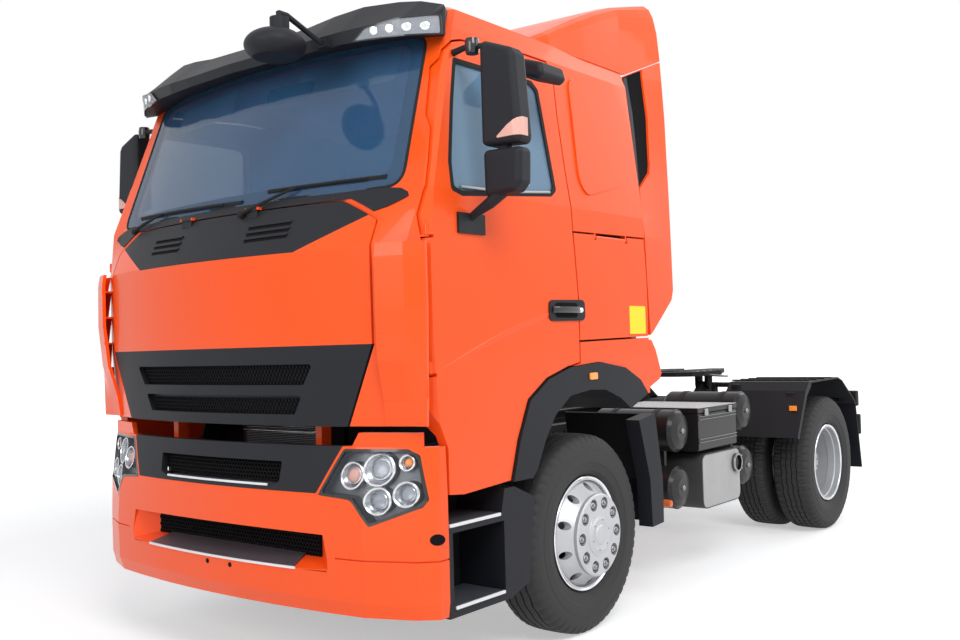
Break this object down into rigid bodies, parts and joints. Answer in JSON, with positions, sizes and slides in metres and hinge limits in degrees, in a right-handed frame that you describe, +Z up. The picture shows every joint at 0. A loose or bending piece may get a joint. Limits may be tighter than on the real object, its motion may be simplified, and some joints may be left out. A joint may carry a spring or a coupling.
{
  "type": "semi truck tractor unit",
  "caption": "Two-axle cab-over tractor unit with sleeper cab, roof and side air deflectors, stepped bumper, side tanks and a trailer coupling plate.",
  "frame": {"origin": "middle of the truck's footprint, on the ground", "axes": "+X to the truck's left, the truck faces -Y, +Z up"},
  "size_m": [3.1096, 5.908, 3.6218],
  "materials": {
    "orange_paint": "gloss",
    "black_plastic": "satin",
    "tinted_glass": "clear",
    "lamp_glass": "gloss",
    "red_lamp": "gloss",
    "tread_steel": "satin",
    "frame_paint": "satin",
    "tyre_rubber": "matte",
    "silver_rim": "satin",
    "tank_paint": "satin",
    "silver_sheet": "satin",
    "cast_black": "matte",
    "seat_fabric": "matte",
    "cabin_plastic": "matte"
  },
  "bodies": {
    "chassis": {"chassis_frame": "frame_paint", "front_bumper": "orange_paint", "bumper_centre": "black_plastic", "step_treads": "tread_steel", "headlamps": "lamp_glass", "step_boxes": "black_plastic", "wheel_guards": "black_plastic", "front_axle": "cast_black", "leaf_springs": "frame_paint", "rear_axle": "cast_black", "propshaft": "frame_paint", "engine_block": "cast_black", "radiator": "cast_black", "battery_box": "black_plastic", "exhaust_silencer": "silver_sheet", "air_tanks": "tank_paint", "fuel_tank": "tank_paint", "rear_guards": "black_plastic", "tail_lamps": "red_lamp", "fifth_wheel_base": "cast_black"},
    "cab": {"cab_shell": "orange_paint", "windscreen": "tinted_glass", "corner_panels": "orange_paint", "sun_visor": "black_plastic", "roof_deflector": "orange_paint", "side_deflectors": "orange_paint", "arch_trims": "black_plastic", "dashboard": "cabin_plastic", "seats": "seat_fabric", "bunk": "seat_fabric", "steering_wheel": "cabin_plastic", "front_mirror": "black_plastic"},
    "door_left": {"door_left": "orange_paint", "door_glass_left": "tinted_glass", "mirror_left": "black_plastic"},
    "door_right": {"door_right": "orange_paint", "door_glass_right": "tinted_glass", "mirror_right": "black_plastic"},
    "lid": {"front_lid": "orange_paint", "cowl_panel": "black_plastic", "grille_panel": "black_plastic"},
    "locker_left": {"locker_lid_left": "orange_paint"},
    "locker_right": {"locker_lid_right": "orange_paint"},
    "steering_left": {"knuckle_left": "cast_black"},
    "steering_right": {"knuckle_right": "cast_black"},
    "wheel_front_left": {"tyre_front_left": "tyre_rubber", "rim_front_left": "silver_rim"},
    "wheel_front_right": {"tyre_front_right": "tyre_rubber", "rim_front_right": "silver_rim"},
    "wheel_rear_left": {"tyres_rear_left": "tyre_rubber", "rims_rear_left": "silver_rim"},
    "wheel_rear_right": {"tyres_rear_right": "tyre_rubber", "rims_rear_right": "silver_rim"},
    "coupling_plate": {"fifth_wheel_plate": "cast_black"}
  },
  "joints": [
    {"name": "cab_tilt", "type": "hinge", "parent": "chassis", "child": "cab", "pos_m": [0, -2.564, 1.05], "axis": [1, 0, 0], "range_deg": [0, 48]},
    {"name": "door_left_swing", "type": "hinge", "parent": "cab", "child": "door_left", "pos_m": [1.225, -2.543, 1.75], "axis": [0, 0, -1], "range_deg": [0, 70]},
    {"name": "door_right_swing", "type": "hinge", "parent": "cab", "child": "door_right", "pos_m": [-1.225, -2.543, 1.75], "axis": [0, 0, 1], "range_deg": [0, 70]},
    {"name": "lid_swing", "type": "hinge", "parent": "cab", "child": "lid", "pos_m": [0, -2.702, 2.216], "axis": [-1, 0, 0], "range_deg": [0, 75]},
    {"name": "locker_left_swing", "type": "hinge", "parent": "cab", "child": "locker_left", "pos_m": [1.236, -1.044, 2.096], "axis": [0, -1, 0], "range_deg": [0, 85]},
    {"name": "locker_right_swing", "type": "hinge", "parent": "cab", "child": "locker_right", "pos_m": [-1.236, -1.044, 2.096], "axis": [0, 1, 0], "range_deg": [0, 85]},
    {"name": "steer_left", "type": "hinge", "parent": "chassis", "child": "steering_left", "pos_m": [0.85, -1.264, 0.525], "axis": [0, 0, 1], "range_deg": [-38, 38]},
    {"name": "steer_right", "type": "hinge", "parent": "chassis", "child": "steering_right", "pos_m": [-0.85, -1.264, 0.525], "axis": [0, 0, 1], "range_deg": [-38, 38]},
    {"name": "front_left_roll", "type": "hinge", "parent": "steering_left", "child": "wheel_front_left", "pos_m": [1.05, -1.264, 0.525], "axis": [1, 0, 0], "continuous": true},
    {"name": "front_right_roll", "type": "hinge", "parent": "steering_right", "child": "wheel_front_right", "pos_m": [-1.05, -1.264, 0.525], "axis": [1, 0, 0], "continuous": true},
    {"name": "rear_left_roll", "type": "hinge", "parent": "chassis", "child": "wheel_rear_left", "pos_m": [0.922, 2.236, 0.525], "axis": [1, 0, 0], "continuous": true},
    {"name": "rear_right_roll", "type": "hinge", "parent": "chassis", "child": "wheel_rear_right", "pos_m": [-0.922, 2.236, 0.525], "axis": [1, 0, 0], "continuous": true},
    {"name": "coupling_rock", "type": "hinge", "parent": "chassis", "child": "coupling_plate", "pos_m": [0, 1.876, 1.165], "axis": [1, 0, 0], "range_deg": [-15, 15]}
  ],
  "couplings": [
    {"joint": "steer_right", "follows": "steer_left", "ratio": 1}
  ]
}
